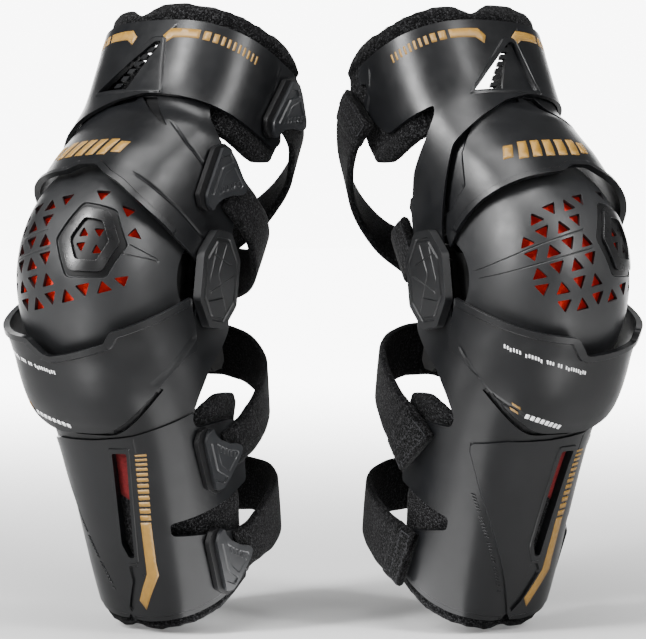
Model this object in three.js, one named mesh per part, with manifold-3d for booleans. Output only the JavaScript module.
// A pair of hinged motorcycle knee guards, in millimetres, +Z up, fronts towards -Y.
// Each guard is modelled in its own frame, with its origin midway between the two knee hinges,
// +X towards the side with the strap clips, and is then set down twice, turned a little outwards.
import * as THREE from "three";
import { mergeVertices } from "three/addons/utils/BufferGeometryUtils.js";
import Module from "manifold-3d";

const wasm = await Module();
wasm.setup();

// ---- Driving dimensions -------------------------------------------------------------------
const HINGE_HEIGHT = 250; // of the knee hinges above the ground
const GUARD_SPACING = 263; // between the middles of the two guards
const GUARD_YAW = 36; // how far each guard is turned outwards
const THIGH_LEAN = 28; // of the thigh's axis from upright, backwards
const SHIN_LEAN = 12.5; // of the shin's axis from upright, backwards
const HINGE_LEAN = (THIGH_LEAN - SHIN_LEAN) / 2; // of the line through a hinge's two pivots
const PIVOT_GAP = 24; // between a hinge's thigh pivot and its shin pivot
const WALL = 3; // of the moulded shells
const LAYER = 4.2; // from a shell's face to the next shell under it
const SQUARENESS = 2.7; // exponent of the rounded cross-sections: 2 is an ellipse

// Layers of a hinge, measured outwards from the middle of the knee.
const PAD_LAYER = [44.5, 53.8];
const PIN_HEAD_LAYER = [54.1, 55.8];
const PLATE_LAYER = [56.1, 61.8];
const PLATE_TAB_THICKNESS = 1.3;
const ARM_LAYER = [62.2, 65.6];
const SHELL_HALF_WIDTH = 69;
const COVER_LAYER = [69.6, 76.6];

const CUP_HALF_WIDTH = 61.9;
const CUP_RADIUS = 90; // of the knee cup's face from the hinge axis
const CUP_HALF_ANGLE = 62;
const CUP_SIDE_ANGLE = 65;
const FOAM_SIDE_ANGLE = 50;
const FOAM_GAP = 1.2; // between the cup and its foam
const FOAM_THICKNESS = 9;
const GEAR_TEETH = 12;
const GEAR_ADDENDUM = 1.5;
const GEAR_DEDENDUM = 2.1;
const GEAR_HALF_SECTOR = 90;
const PIN_RADIUS = 4;
const RUNNING_GAP = 0.3;
const BAND_END = 1; // of the shells' bands past the hinge axis, along each limb
const STRAP_THICKNESS = 4;
const LINER_THICKNESS = 6;
const LINER_DEPTH = 8.6; // of the liner's outer face under the shell's face

const rad = THREE.MathUtils.degToRad;

// ---- Smooth profiles ----------------------------------------------------------------------
// A smooth curve through [place, value] pairs, held level beyond its ends.
function profile(pairs) {
  const slope = (i) => {
    if (i === 0 || i === pairs.length - 1) return 0;
    const [a, b] = [pairs[i - 1], pairs[i + 1]];
    return (b[1] - a[1]) / (b[0] - a[0]);
  };
  return (x) => {
    if (x <= pairs[0][0]) return pairs[0][1];
    const i = pairs.findIndex((pair) => pair[0] > x) - 1;
    if (i < 0) return pairs[pairs.length - 1][1];
    const width = pairs[i + 1][0] - pairs[i][0];
    const t = (x - pairs[i][0]) / width;
    const rise = pairs[i + 1][1] - pairs[i][1];
    const start = slope(i) * width;
    const end = slope(i + 1) * width;
    return pairs[i][1] + t * (start + t * (3 * rise - 2 * start - end + t * (start + end - 2 * rise)));
  };
}

// A line through [place, value] pairs, held level beyond its ends.
function polyline(pairs) {
  return (x) => {
    if (x <= pairs[0][0]) return pairs[0][1];
    const i = pairs.findIndex((pair) => pair[0] > x) - 1;
    if (i < 0) return pairs[pairs.length - 1][1];
    return THREE.MathUtils.mapLinear(x, pairs[i][0], pairs[i + 1][0], pairs[i][1], pairs[i + 1][1]);
  };
}

const ease = THREE.MathUtils.smoothstep;

// ---- Surfaces of the leg ------------------------------------------------------------------
// Distance from a rounded cross-section's middle to its edge, at an angle from the front.
function sectionRadius(angle, halfWidth, front, back) {
  const depth = Math.cos(angle) > 0 ? front : back;
  const across = Math.abs(Math.sin(angle) / halfWidth) ** SQUARENESS;
  const along = Math.abs(Math.cos(angle) / depth) ** SQUARENESS;
  return (across + along) ** (-1 / SQUARENESS);
}

// A surface round a limb that leans back by lean degrees and runs up (way 1) or down (way -1)
// from the hinge. It takes an angle from the front in degrees, a distance along the limb and
// an offset outwards.
function limbSurface(lean, way, halfWidth, front, back) {
  const [sin, cos] = [Math.sin(rad(lean)), Math.cos(rad(lean))];
  const surface = (angle, along, offset = 0) => {
    const r = surface.radius(angle, along) + offset;
    const [x, p] = [r * Math.sin(rad(angle)), -r * Math.cos(rad(angle))];
    return new THREE.Vector3(x, p * cos + along * sin, way * (along * cos - p * sin));
  };
  surface.radius = (angle, along) =>
    sectionRadius(rad(angle), halfWidth(along), front(along), back(along));
  return surface;
}

const thighWidth = profile([[0, SHELL_HALF_WIDTH], [60, SHELL_HALF_WIDTH], [112, 70.5], [150, 72], [185, 72.5]]);
const thighFront = profile([[0, 101], [20, 98.5], [42, 91], [60, 85], [75, 78], [90, 71.5], [112, 65.5], [140, 66], [185, 69]]);
const thighBack = profile([[0, 60], [30, 62], [80, 76], [125, 84], [185, 84]]);
const thigh = limbSurface(THIGH_LEAN, 1, thighWidth, thighFront, thighBack);

const shinWidth = profile([[0, SHELL_HALF_WIDTH], [50, SHELL_HALF_WIDTH], [90, 65.5], [130, 61.5], [170, 58.5], [215, 56], [256, 53]]);
const shinFront = profile([[0, 84], [40, 80], [72, 72], [90, 67.5], [112, 63.5], [150, 60], [200, 56], [240, 51], [256, 49]]);
const shinBack = profile([[0, 60], [60, 70], [110, 76], [190, 76], [256, 60]]);
const shin = limbSurface(SHIN_LEAN, -1, shinWidth, shinFront, shinBack);

const chinFront = profile([[0, 100], [20, 98], [35, 94], [50, 92], [65, 89], [80, 83.5], [92, 78.5]]);
const chin = limbSurface(SHIN_LEAN, -1, (along) => shinWidth(along) + LAYER + 0.3, chinFront, shinBack);

// The knee cup's surface, turned about the hinge axis. It takes an angle round the knee's
// width, an angle up from the hinge's forward direction and an offset outwards, in degrees.
function knee(side, up, offset = 0) {
  const r = sectionRadius(rad(side), CUP_HALF_WIDTH, CUP_RADIUS, CUP_RADIUS) + offset;
  const [x, reach] = [r * Math.sin(rad(side)), r * Math.cos(rad(side))];
  const turn = rad(up + HINGE_LEAN);
  return new THREE.Vector3(x, -reach * Math.cos(turn), reach * Math.sin(turn));
}

// ---- Solids -------------------------------------------------------------------------------
// A geometry with its faces turned outwards and its shared vertices merged.
function closed(geometry) {
  geometry.deleteAttribute("normal");
  geometry.deleteAttribute("uv");
  const merged = mergeVertices(geometry, 1e-3);
  const index = merged.index.array;
  const corner = [new THREE.Vector3(), new THREE.Vector3(), new THREE.Vector3()];
  let volume = 0;
  for (let i = 0; i < index.length; i += 3) {
    corner.forEach((c, k) => c.fromBufferAttribute(merged.attributes.position, index[i + k]));
    volume += corner[0].dot(corner[1].cross(corner[2]));
  }
  if (volume < 0)
    for (let i = 0; i < index.length; i += 3)
      [index[i + 1], index[i + 2]] = [index[i + 2], index[i + 1]];
  return merged;
}

function toSolid(geometry) {
  const merged = closed(geometry);
  return new wasm.Manifold(new wasm.Mesh({
    numProp: 3,
    vertProperties: merged.attributes.position.array,
    triVerts: new Uint32Array(merged.index.array),
  }));
}

function toGeometry(solid) {
  const mesh = solid.getMesh();
  return new THREE.BufferGeometry()
    .setAttribute("position", new THREE.BufferAttribute(mesh.vertProperties, 3))
    .setIndex(new THREE.BufferAttribute(mesh.triVerts, 1));
}

const cut = (body, ...cutters) =>
  toGeometry(cutters.reduce((rest, cutter) => rest.subtract(toSolid(cutter)), toSolid(body)));
const join = (body, ...others) =>
  toGeometry(others.reduce((sum, other) => sum.add(toSolid(other)), toSolid(body)));

// A closed solid between two grids of points, outer(u, v) and inner(u, v), u and v from 0 to 1.
function slab(outer, inner, columns, rows) {
  const positions = [];
  for (const point of [outer, inner])
    for (let i = 0; i <= columns; i++)
      for (let j = 0; j <= rows; j++)
        positions.push(...point(i / columns, j / rows).toArray());
  const at = (side, i, j) => (side * (columns + 1) + i) * (rows + 1) + j;
  const index = [];
  const quad = (a, b, c, d) => index.push(a, b, c, a, c, d);
  for (let i = 0; i < columns; i++) {
    for (let j = 0; j < rows; j++) {
      quad(at(0, i, j), at(0, i + 1, j), at(0, i + 1, j + 1), at(0, i, j + 1));
      quad(at(1, i, j), at(1, i, j + 1), at(1, i + 1, j + 1), at(1, i + 1, j));
    }
    quad(at(0, i, 0), at(1, i, 0), at(1, i + 1, 0), at(0, i + 1, 0));
    quad(at(0, i + 1, rows), at(1, i + 1, rows), at(1, i, rows), at(0, i, rows));
  }
  for (let j = 0; j < rows; j++) {
    quad(at(0, 0, j + 1), at(1, 0, j + 1), at(1, 0, j), at(0, 0, j));
    quad(at(0, columns, j), at(1, columns, j), at(1, columns, j + 1), at(0, columns, j + 1));
  }
  const grid = new THREE.BufferGeometry();
  grid.setAttribute("position", new THREE.Float32BufferAttribute(positions, 3));
  return closed(grid.setIndex(index));
}

// A wall on a surface, whose angles run between left and right and whose distances run between
// low and high: each is a function of the other coordinate, or a number.
const value = (f, x) => (typeof f === "function" ? f(x) : f);
const mix = THREE.MathUtils.lerp;

// Columns of a wall at even angles, with low and high edges that follow the angle.
function columnWall(surface, { left, right, low, high, face = 0, wall = WALL, columns, rows }) {
  const point = (depth) => (u, v) => {
    const angle = mix(left, right, u);
    const along = mix(value(low, angle), value(high, angle), v);
    return surface(angle, along, (typeof face === "function" ? face(angle, along) : face) - depth);
  };
  return slab(point(0), point(wall), columns, rows);
}

// A thick block through a wall, whose left and right edges follow the distance along the limb.
function rowBlock(surface, { left, right, low, high, columns, rows, outside = 9, inside = 12 }) {
  const point = (offset) => (u, v) => {
    const along = mix(low, high, v);
    return surface(mix(value(left, along), value(right, along), u), along, offset);
  };
  return slab(point(outside), point(-inside), columns, rows);
}

// A flat plate parallel to the YZ plane between two heights of the hinge's stack. Its outline
// is in the hinge's own directions: backwards, and up along the line through the pivots.
function sidePlate(outline, layer, holes = []) {
  const shape = new THREE.Shape(THREE.ShapeUtils.isClockWise(outline) ? [...outline].reverse() : outline);
  for (const [x, y] of holes) {
    const path = new THREE.Path();
    path.absarc(x, y, PIN_RADIUS + RUNNING_GAP, 0, 2 * Math.PI, true);
    shape.holes.push(path);
  }
  const plate = new THREE.ExtrudeGeometry(shape, { depth: layer[1] - layer[0], bevelEnabled: false, curveSegments: 5 });
  return plate
    .rotateX(Math.PI / 2)
    .rotateZ(Math.PI / 2)
    .rotateX(-rad(HINGE_LEAN))
    .translate(layer[0], 0, 0);
}

// The same piece for the other hinge.
const mirrored = (geometry) => closed(geometry.clone().scale(-1, 1, 1));

// ---- Shells -------------------------------------------------------------------------------
const CUFF = { low: 112, high: 170 };
const BAND_FRONT = polyline([[1, 83], [5, 78], [11, 76], [30, 70], [50, 61.5], [78, 49], [93, 30], [106, 10], [112, -10]]);
const BAND_REAR = polyline([[1, 89], [5, 94], [11, 96], [25, 97], [48, 92], [75, 78], [92, 62], [104, 54], [112, 52]]);
const CUFF_REAR_OUTER = polyline([[112, 104], [135, 111], [158, 111], [170, 104]]);
const CUFF_REAR_INNER = polyline([[112, 86], [135, 97], [158, 97], [170, 86]]);

// Cuff round the thigh, and the band that runs from its top middle down to the inner hinge.
function thighFrame() {
  const reach = 116;
  const wall = columnWall(thigh, { left: -reach, right: reach, low: BAND_END, high: CUFF.high, columns: 20, rows: 8 });
  const below = { low: -5, rows: 9 };
  return cut(
    wall,
    rowBlock(thigh, { ...below, high: CUFF.low, left: (q) => -BAND_FRONT(q), right: 140, columns: 8 }),
    rowBlock(thigh, { ...below, high: CUFF.low - 1, left: -140, right: (q) => -BAND_REAR(q), columns: 3 }),
    rowBlock(thigh, { low: 105, high: 180, left: -140, right: (q) => -CUFF_REAR_INNER(q), columns: 1, rows: 4 }),
    rowBlock(thigh, { low: 105, high: 180, left: CUFF_REAR_OUTER, right: 140, columns: 1, rows: 4 }),
    thighWindow(),
  );
}

// Three-cornered window between the band and the cuff.
function thighWindow() {
  const left = polyline([[115, -29], [153, 7]]);
  const right = polyline([[115, 19], [153, 11]]);
  return rowBlock(thigh, { low: 115, high: 153, left, right, columns: 2, rows: 2 });
}

// Distance up the thigh of the dome's lower rim, which arches over the knee cup.
const domeRim = profile([[-80, 5], [-64, 20], [-45, 33], [-25, 39], [4, 41], [15, 40], [23, 27], [32, 14], [54, 9], [80, 3]]);

// How deep the dome lies under the thigh's outer surface: it tucks under the band and the cuff,
// and comes up to the surface on the side where it runs down to the outer hinge.
function domeFace(angle, along) {
  const underBand = 1 - ease(angle, -25, 25);
  return -LAYER * Math.max(underBand, ease(along, 88, 106));
}

// Dome over the upper knee, with the arm that runs down to the outer hinge.
function thighDome() {
  const top = CUFF.low + 6;
  const wall = columnWall(thigh, { left: -72, right: 99, low: domeRim, high: top, face: domeFace, columns: 20, rows: 5 });
  const innerEdge = polyline([[-5, -72], [48, -70], [80, -60], [112, -48], [125, -44]]);
  const slitMiddle = polyline([[88, 32], [110, 11]]);
  const slitHalf = polyline([[88, 0.8], [110, 2.4]]);
  return cut(
    wall,
    rowBlock(thigh, { low: -12, high: 125, left: BAND_REAR, right: 140, columns: 2, rows: 8 }),
    rowBlock(thigh, { low: -12, high: 125, left: -95, right: innerEdge, columns: 1, rows: 4 }),
    rowBlock(thigh, {
      low: 88,
      high: 110,
      left: (q) => slitMiddle(q) - slitHalf(q),
      right: (q) => slitMiddle(q) + slitHalf(q),
      columns: 1,
      rows: 2,
    }),
  );
}

const SHIN_TOP = polyline([[-4, 85], [1, 83], [5, 78], [11, 76], [30, 66], [50, 52], [62, 38], [70, 18], [72, 3]]);
const SHIN_REAR = polyline([[1, 89], [5, 94], [11, 96], [20, 97], [38, 88], [51, 76], [75, 66], [90, 61], [97, 63], [100, 98]]);
const shinBottom = (angle) => 236 - 20 * (angle / 95) ** 2;
const SHIN_REACH = 104;

// Wedge between the two ears on one side of the shin: its front edge against the distance down.
const wedge = (tip) => polyline([[149, 110], [156, 83], [162, tip], [171, tip], [178, 80], [184, 110]]);

// Shin plate with its ears, and the two bands that run up to the hinges.
function shinFrame() {
  const wall = columnWall(shin, { left: -SHIN_REACH, right: SHIN_REACH, low: BAND_END, high: shinBottom, columns: 18, rows: 8 });
  const waist = { low: -5, high: 100, rows: 9, columns: 2 };
  const ears = { low: 149, high: 184, rows: 4, columns: 3 };
  return cut(
    wall,
    rowBlock(shin, { low: -4, high: 72, left: (q) => -SHIN_TOP(q), right: SHIN_TOP, columns: 8, rows: 7, outside: 24 }),
    rowBlock(shin, { ...waist, left: SHIN_REAR, right: 130 }),
    rowBlock(shin, { ...waist, left: -130, right: (q) => -SHIN_REAR(q) }),
    rowBlock(shin, { ...ears, left: wedge(40), right: 125 }),
    rowBlock(shin, { ...ears, left: -125, right: (q) => -wedge(58)(q) }),
    shinSlot(),
  );
}

// Long narrow slot down the front of the shin plate.
function shinSlot() {
  const left = polyline([[108, 11], [176, 4], [186, 8]]);
  const right = polyline([[108, 21], [186, 12.5]]);
  return rowBlock(shin, { low: 108, high: 186, left, right, columns: 1, rows: 3 });
}

// Distance down the shin of the chin's upper rim, with the V-shaped notch in its middle.
const CHIN_REACH = 68;
const CHIN_SLOPE = Math.tan(rad(10));
const CHIN_NOTCH = profile([[0, 13], [12, 8], [20, 3], [27, 0]]);
const chinRim = (angle) =>
  chin.radius(angle, 20) * Math.cos(rad(angle)) * CHIN_SLOPE + CHIN_NOTCH(Math.abs(angle));
const chinBottom = (angle) => 90 - 48 * ease(Math.abs(angle), 12, CHIN_REACH);

// Rounded guard over the lower knee and the top of the shin.
const shinChin = () =>
  columnWall(chin, { left: -CHIN_REACH, right: CHIN_REACH, low: chinRim, high: chinBottom, columns: 20, rows: 4 });

// ---- Knee cup -----------------------------------------------------------------------------
// Point of a wall that follows the knee's surface, at shares u and v of its width and height.
const kneePoint = (side, up, depth) => (u, v) =>
  knee(mix(-side, side, u), mix(-up, up, v), -depth);

const kneeCup = () => {
  const [side, up] = [CUP_SIDE_ANGLE, CUP_HALF_ANGLE];
  return slab(kneePoint(side, up, 0), kneePoint(side, up, WALL), 14, 8);
};

const cupFoam = () => {
  const [side, up] = [FOAM_SIDE_ANGLE, CUP_HALF_ANGLE - 4];
  const depth = WALL + FOAM_GAP;
  return slab(kneePoint(side, up, depth), kneePoint(side, up, depth + FOAM_THICKNESS), 9, 5);
};

// ---- Hinges -------------------------------------------------------------------------------
const HALF_GAP = PIVOT_GAP / 2;

// Points of an arc in degrees, both ends included.
function arc(x, y, radius, from, to, steps) {
  return Array.from({ length: steps + 1 }, (_, i) => {
    const angle = rad(mix(from, to, i / steps));
    return new THREE.Vector2(x + radius * Math.cos(angle), y + radius * Math.sin(angle));
  });
}

// Toothed rim of a hinge arm, facing down the line to the other pivot. phase is 0 for a tooth
// on that line and 0.5 for a gap.
function gearSector(phase) {
  const pitch = 360 / GEAR_TEETH;
  const [tip, root] = [HALF_GAP + GEAR_ADDENDUM, HALF_GAP - GEAR_DEDENDUM];
  const first = Math.ceil(-GEAR_HALF_SECTOR / pitch - phase);
  const last = Math.floor(GEAR_HALF_SECTOR / pitch - phase);
  const points = [];
  for (let i = first; i <= last; i++) {
    const middle = -90 + (i + phase) * pitch;
    for (const [share, radius] of [[-0.3, root], [-0.11, tip], [0.11, tip], [0.3, root]]) {
      const angle = rad(middle + share * pitch);
      points.push(new THREE.Vector2(radius * Math.cos(angle), radius * Math.sin(angle)));
    }
  }
  return points;
}

const ARM_LENGTH = 52;
const ARM_HALF_WIDTH = 8.5;
const LIMB_TO_HINGE = THIGH_LEAN - HINGE_LEAN; // between a limb's axis and the hinge's line

// Arm of one limb: a geared end round its pivot, and a bar along the limb. The thigh's arm
// points up, and the shin's is the same piece turned over, with its teeth half a pitch on.
function hingeArm(way) {
  const along = new THREE.Vector2(Math.sin(rad(LIMB_TO_HINGE)), Math.cos(rad(LIMB_TO_HINGE)));
  const across = new THREE.Vector2(along.y, -along.x);
  const place = (side, distance) =>
    new THREE.Vector2().addScaledVector(across, side).addScaledVector(along, distance);
  const bar = [
    place(ARM_HALF_WIDTH, 8),
    place(ARM_HALF_WIDTH, ARM_LENGTH - 5),
    place(ARM_HALF_WIDTH - 4, ARM_LENGTH),
    place(4 - ARM_HALF_WIDTH, ARM_LENGTH),
    place(-ARM_HALF_WIDTH, ARM_LENGTH - 5),
    place(-ARM_HALF_WIDTH, 8),
  ];
  const outline = [...gearSector(way > 0 ? 0 : 0.5), ...bar];
  const placed = outline.map((p) => new THREE.Vector2(p.x, way * (p.y + HALF_GAP)));
  return sidePlate(placed, ARM_LAYER, [[0, way * HALF_GAP]]);
}

const HEX_COVER = [[-8, 33.5], [8, 33.5], [20, 16], [20, -16], [8, -33.5], [-8, -33.5], [-20, -16], [-20, 16]];

// Outer cover: a six-sided pad over the whole hinge, with its rim bevelled.
function hingeCover() {
  const ring = (scale) => HEX_COVER.map(([y, z]) => new THREE.Vector2(y * scale, z * scale));
  const base = sidePlate(ring(1), [COVER_LAYER[0], COVER_LAYER[1] - 2.5]);
  const top = sidePlate(ring(0.84), [COVER_LAYER[1] - 3, COVER_LAYER[1]]);
  return join(base, top);
}

// Inner plate: a stadium round the two pivots, with a tab that carries the knee cup.
function hingePlate() {
  const radius = 13;
  const stadium = [...arc(0, HALF_GAP, radius, 0, 180, 6), ...arc(0, -HALF_GAP, radius, 180, 360, 6)];
  const pivots = [[0, HALF_GAP], [0, -HALF_GAP]];
  const tab = [[-11, 18], [-11, -18], [-30, -12], [-30, 12]].map(([y, z]) => new THREE.Vector2(y, z));
  const tabLayer = [PLATE_LAYER[0], PLATE_LAYER[0] + PLATE_TAB_THICKNESS];
  return join(sidePlate(stadium, PLATE_LAYER, pivots), sidePlate(tab, tabLayer));
}

// Pivot pin: a shaft through plate, arm and shell layers, with a head on its inner end.
function pivotPin(way) {
  const profilePoints = [
    [0, PIN_HEAD_LAYER[0]],
    [6.4, PIN_HEAD_LAYER[0]],
    [6.4, PIN_HEAD_LAYER[1]],
    [PIN_RADIUS, PIN_HEAD_LAYER[1]],
    [PIN_RADIUS, ARM_LAYER[1]],
    [0, ARM_LAYER[1]],
  ].map(([r, x]) => new THREE.Vector2(r, x));
  return new THREE.LatheGeometry(profilePoints, 10)
    .rotateZ(-Math.PI / 2)
    .translate(0, 0, way * HALF_GAP)
    .rotateX(-rad(HINGE_LEAN));
}

// Foam pad between the hinge and the side of the knee.
function condylePad() {
  const outline = [...arc(0, 16, 21, 0, 180, 6), ...arc(0, -16, 21, 180, 360, 6)];
  const rim = outline.map((p) => p.clone().multiplyScalar(0.86));
  const split = mix(PAD_LAYER[0], PAD_LAYER[1], 0.35);
  return join(sidePlate(outline, [split, PAD_LAYER[1]]), sidePlate(rim, [PAD_LAYER[0], split + 0.5]));
}

// ---- Liners -------------------------------------------------------------------------------
const LINER_REACH = 117;
const SHIN_LINER_DEPTH = 4.8;
const linerTop = (angle) => 181 - 5 * (1 - ease(Math.abs(angle + 14), 0, 12));

// Padding inside the cuff, which stands out above and below it.
const thighLiner = () =>
  columnWall(thigh, {
    left: -LINER_REACH,
    right: LINER_REACH,
    low: (angle) => 119 - 34 * ease(Math.abs(angle), 38, 78),
    high: linerTop,
    face: -LINER_DEPTH,
    wall: LINER_THICKNESS,
    columns: 18,
    rows: 3,
  });

// Padding inside the shin plate, cut off level where it stands on the ground.
function shinLiner() {
  const wall = columnWall(shin, {
    left: -LINER_REACH,
    right: LINER_REACH,
    low: (angle) => 92 - 14 * ease(Math.abs(angle), 50, 90),
    high: 268,
    face: -SHIN_LINER_DEPTH,
    wall: LINER_THICKNESS,
    columns: 18,
    rows: 4,
  });
  const ground = new THREE.BoxGeometry(300, 300, 60).translate(0, 0, -HINGE_HEIGHT - 30);
  return cut(wall, ground);
}

// ---- Straps and clips ---------------------------------------------------------------------
// Where each strap clip sits: its middle on the limb, and how far it is turned in its face.
const CLIPS = {
  thigh_upper_clip: { surface: thigh, angle: 104, along: 138, tilt: -8 },
  thigh_lower_clip: { surface: thigh, angle: 74, along: 62, tilt: 0 },
  calf_upper_clip: { surface: shin, angle: 80, along: 120, tilt: 12 },
  calf_lower_clip: { surface: shin, angle: 81, along: 195, tilt: 8 },
};
const CLIP = { length: 34, height: 46, thickness: 6, clear: 0.8, slot: [28, 5] };

// The clip's own frame: x rearwards along its face, y up along the limb, z outwards. Its origin
// is on the inner edge of its front end, where it hooks on the shell and pivots.
function clipFrame({ surface, angle, along, tilt }) {
  const step = 8;
  const middle = surface(angle, along, CLIP.clear);
  const rearwards = surface(angle + step, along, CLIP.clear).sub(surface(angle - step, along, CLIP.clear)).normalize();
  const up = surface(angle, along - 5, CLIP.clear).sub(surface(angle, along + 5, CLIP.clear)).normalize();
  if (up.z < 0) up.negate();
  const out = new THREE.Vector3().crossVectors(rearwards, up).normalize();
  up.crossVectors(out, rearwards);
  const frame = new THREE.Matrix4().makeBasis(rearwards, up, out);
  frame.multiply(new THREE.Matrix4().makeRotationZ(rad(tilt)));
  const sagitta = 2.2; // the shell curves away from the flat clip by this much at its ends
  const hook = new THREE.Vector3(-CLIP.length / 2, 0, sagitta - CLIP.clear).applyMatrix4(frame);
  return frame.setPosition(middle.add(hook));
}

// Moulded strap clip: a plate that narrows towards its strap slot, with a raised hook end.
function strapClip(place) {
  const half = CLIP.height / 2;
  const outline = [[0, -half + 10], [7, -half], [26, -half + 3], [CLIP.length, -half + 8],
    [CLIP.length, half - 8], [26, half - 3], [7, half], [0, half - 10]];
  const shape = new THREE.Shape(outline.map(([x, y]) => new THREE.Vector2(x, y)));
  const [slotHeight, slotWidth] = CLIP.slot;
  const slot = [[22, -1], [22 + slotWidth, -1], [22 + slotWidth, 1], [22, 1]];
  shape.holes.push(new THREE.Path(slot.map(([x, side]) => new THREE.Vector2(x, (side * slotHeight) / 2))));
  const plate = new THREE.ExtrudeGeometry(shape, { depth: CLIP.thickness - 2, bevelEnabled: false });
  const hook = new THREE.BoxGeometry(11, CLIP.height - 18, 2.5).translate(7, 0, CLIP.thickness - 1.25);
  return closed(join(plate, hook).applyMatrix4(clipFrame(place)));
}

// Where each strap runs, as [angle, distance] from its fixed end on the inner side, round the
// back of the leg, to its clip on the outer side. lift is how far it stands off the limb.
const STRAPS = {
  thigh_upper_strap: {
    surface: thigh,
    width: 36,
    route: [[-101, 38], [-122, 38], [-150, 46], [-178, 62], [-204, 92], [-222, 120], [-238, 134]],
    lift: [[0, -3.5], [0.3, -5], [0.7, -5], [0.88, -2], [1, 1.2]],
  },
  thigh_lower_strap: {
    surface: thigh,
    width: 40,
    route: [[-97, 142], [-115, 132], [-135, 108], [-160, 70], [-190, 44], [-220, 40], [-256, 57]],
    lift: [[0, 4.6], [0.16, 5], [0.4, 6], [0.68, 9], [0.92, 2.6], [1, 1.2]],
  },
  calf_upper_strap: {
    surface: shin,
    width: 40,
    route: [[-84, 122], [-105, 104], [-130, 84], [-160, 72], [-195, 74], [-225, 94], [-256, 118]],
    lift: [[0, 5], [0.15, 5.6], [0.5, 6], [0.85, 4], [1, 3.4]],
  },
  calf_lower_strap: {
    surface: shin,
    width: 42,
    route: [[-84, 201], [-105, 196], [-135, 186], [-165, 178], [-195, 176], [-225, 184], [-254, 196]],
    lift: [[0, 5], [0.15, 5.6], [0.5, 6], [0.85, 4], [1, 3.4]],
  },
};
const STRAP_STEPS = 16;

// A flat strap: its middle line on the limb, with its width square to the line and its face
// square to the limb.
function strap({ surface, width, route, lift }) {
  const path = new THREE.SplineCurve(route.map(([angle, along]) => new THREE.Vector2(angle, along)));
  const liftAt = polyline(lift);
  const middle = (t) => {
    const at = path.getPoint(THREE.MathUtils.clamp(t, 0, 1));
    return surface(at.x, at.y, liftAt(t));
  };
  const point = (height) => (u, v) => {
    const step = 0.01;
    const tangent = middle(Math.min(u + step, 1)).sub(middle(Math.max(u - step, 0))).normalize();
    const at = path.getPoint(u);
    const out = surface(at.x, at.y, 10).sub(surface(at.x, at.y, 0)).normalize();
    const across = new THREE.Vector3().crossVectors(out, tangent).normalize();
    return middle(u).addScaledVector(across, (v - 0.5) * width).addScaledVector(out, height);
  };
  return slab(point(STRAP_THICKNESS / 2), point(-STRAP_THICKNESS / 2), STRAP_STEPS, 1);
}

// ---- Materials ----------------------------------------------------------------------------
const material = (color, roughness, metalness) =>
  new THREE.MeshStandardMaterial({ color, roughness, metalness });
const MATERIALS = {
  shell: material(0x2b2c2f, 0.5, 0),
  cup: material(0x303134, 0.58, 0),
  rubber: material(0x232426, 0.72, 0),
  clip: material(0x3a3b3e, 0.55, 0),
  fabric: material(0x131315, 0.95, 0),
  webbing: material(0x18181a, 0.98, 0),
  foam: material(0xb3140d, 0.85, 0),
  steel: material(0x8f9296, 0.35, 0.9),
};

// ---- One guard's pieces -------------------------------------------------------------------
const pieces = [
  ["thigh_frame", thighFrame(), "shell"],
  ["thigh_dome", thighDome(), "shell"],
  ["thigh_liner", thighLiner(), "fabric"],
  ["shin_frame", shinFrame(), "shell"],
  ["shin_chin", shinChin(), "shell"],
  ["shin_liner", shinLiner(), "fabric"],
  ["knee_cup", kneeCup(), "cup"],
  ["knee_cup_foam", cupFoam(), "foam"],
];

// Both hinges: the outer one on the clip side, and its mirror image on the inner side.
const hingePieces = [
  ["hinge_cover", hingeCover(), "rubber"],
  ["hinge_plate", hingePlate(), "steel"],
  ["thigh_arm", hingeArm(1), "steel"],
  ["shin_arm", hingeArm(-1), "steel"],
  ["thigh_pivot_pin", pivotPin(1), "steel"],
  ["shin_pivot_pin", pivotPin(-1), "steel"],
  ["condyle_pad", condylePad(), "fabric"],
];
for (const [name, geometry, slot] of hingePieces) {
  pieces.push([`outer_${name}`, closed(geometry), slot]);
  pieces.push([`inner_${name}`, mirrored(geometry), slot]);
}
for (const [name, place] of Object.entries(CLIPS)) pieces.push([name, strapClip(place), "clip"]);
for (const [name, run] of Object.entries(STRAPS)) pieces.push([name, strap(run), "webbing"]);

// ---- The pair -----------------------------------------------------------------------------
const pair = new THREE.Group();
for (const [side, way] of [["left", -1], ["right", 1]]) {
  const guard = new THREE.Group();
  guard.position.set((way * GUARD_SPACING) / 2, 0, HINGE_HEIGHT);
  guard.rotation.z = way * rad(GUARD_YAW);
  for (const [name, geometry, slot] of pieces) {
    const mesh = new THREE.Mesh(geometry, MATERIALS[slot]);
    mesh.name = `${side}_${name}`;
    guard.add(mesh);
  }
  pair.add(guard);
}

// Stands the pair on the origin: the middle of its box in plan, and its lowest point.
const box = new THREE.Box3().setFromObject(pair, true);
pair.position.set(-(box.min.x + box.max.x) / 2, -(box.min.y + box.max.y) / 2, -box.min.z);

export default pair;
